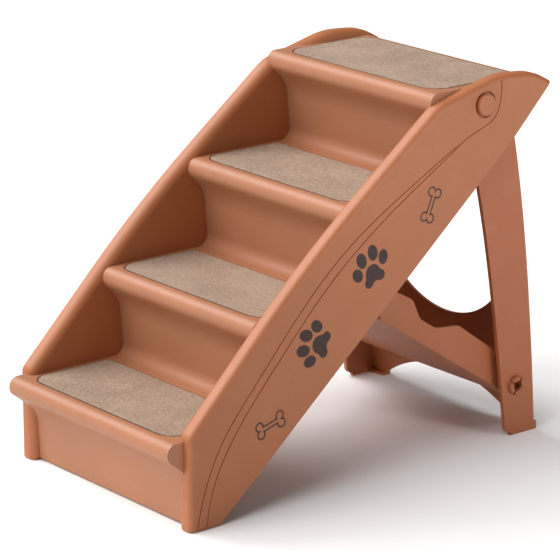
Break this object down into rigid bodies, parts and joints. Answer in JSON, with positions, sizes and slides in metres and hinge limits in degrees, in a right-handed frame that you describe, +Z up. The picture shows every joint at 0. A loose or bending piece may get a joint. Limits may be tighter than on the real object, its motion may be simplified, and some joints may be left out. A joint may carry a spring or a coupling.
{
  "type": "folding pet stairs",
  "caption": "Moulded pet stairs: carpeted treads between two side panels, on a folding rear leg frame with a locking brace.",
  "frame": {"origin": "middle of the footprint, on the floor", "axes": "+X to the right seen from behind, across the steps; +Y from the first step to the rear; +Z up"},
  "size_m": [0.3658, 0.6176, 0.4963],
  "materials": {
    "shell_plastic": "fine satin moulded texture",
    "frame_plastic": "fine satin moulded texture",
    "brace_plastic": "fine satin moulded texture",
    "tread_mat": "short needle-punched carpet"
  },
  "bodies": {
    "steps": {"stair_flight": "shell_plastic", "side_panel_right": "shell_plastic", "side_panel_left": "shell_plastic", "tread_mat_1": "tread_mat", "tread_mat_2": "tread_mat", "tread_mat_3": "tread_mat", "tread_mat_4": "tread_mat", "pivot_pin_right": "shell_plastic", "pivot_pin_left": "shell_plastic", "front_foot_right": "shell_plastic", "front_foot_left": "shell_plastic", "brace_catch_right": "shell_plastic", "brace_catch_left": "shell_plastic"},
    "leg_frame": {"leg_right": "frame_plastic", "leg_left": "frame_plastic", "cross_panel": "frame_plastic", "rear_foot_right": "frame_plastic", "rear_foot_left": "frame_plastic"},
    "brace": {"brace_plate": "brace_plastic", "brace_flange_right": "brace_plastic", "brace_flange_left": "brace_plastic", "brace_pin_right": "brace_plastic", "brace_pin_left": "brace_plastic"}
  },
  "joints": [
    {"name": "leg_fold", "type": "hinge", "parent": "steps", "child": "leg_frame", "pos_m": [0, 0.19225, 0.463], "axis": [-1, 0, 0], "range_deg": [0, 38]},
    {"name": "brace_fold", "type": "hinge", "parent": "leg_frame", "child": "brace", "pos_m": [0, 0.26925, 0.069], "axis": [-1, 0, 0], "range_deg": [0, 48]}
  ],
  "couplings": [
    {"joint": "brace_fold", "follows": "leg_fold", "ratio": 1.263}
  ]
}
